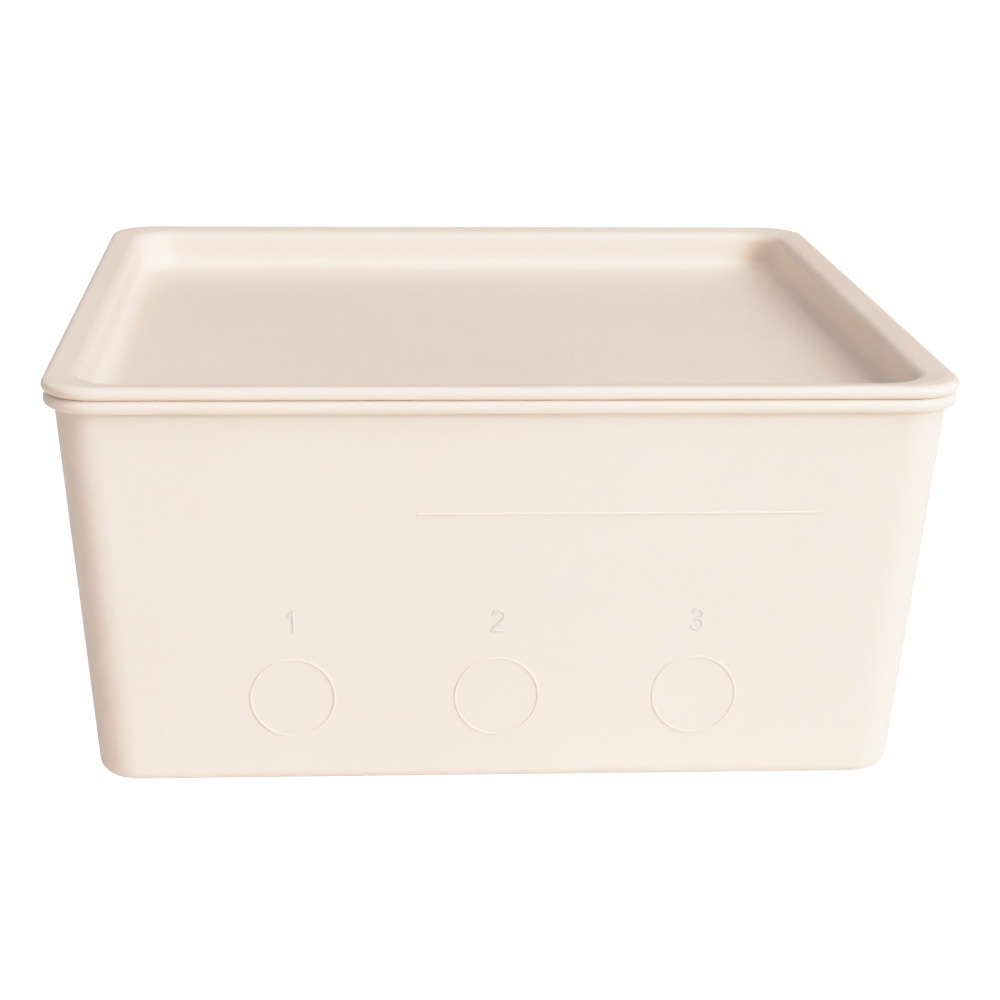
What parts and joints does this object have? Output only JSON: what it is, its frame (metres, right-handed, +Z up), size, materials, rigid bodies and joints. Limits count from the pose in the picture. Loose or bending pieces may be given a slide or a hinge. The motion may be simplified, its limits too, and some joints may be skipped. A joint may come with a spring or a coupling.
{
  "type": "stackable feed box",
  "caption": "Square lidded box with drafted walls, a bead rim, and a lid whose sunken tray plugs into the tub and seats the base of the box above.",
  "frame": {"origin": "centre of the base, on the plane that the box stands on", "axes": "+Z up out of the lid, +X to the right of someone facing the marked front, and the marked front faces -Y"},
  "size_m": [0.3, 0.3, 0.1404],
  "materials": {
    "tub_plastic": "warm ivory injection-moulded polypropylene, satin-matte",
    "lid_plastic": "warm ivory injection-moulded polypropylene, satin-matte"
  },
  "bodies": {
    "tub": {"tub": "tub_plastic"},
    "lid": {"lid": "lid_plastic"}
  },
  "joints": [
    {"name": "lid_lift", "type": "slide", "parent": "tub", "child": "lid", "axis": [0, 0, 1], "range_m": [0, 0.15]}
  ]
}
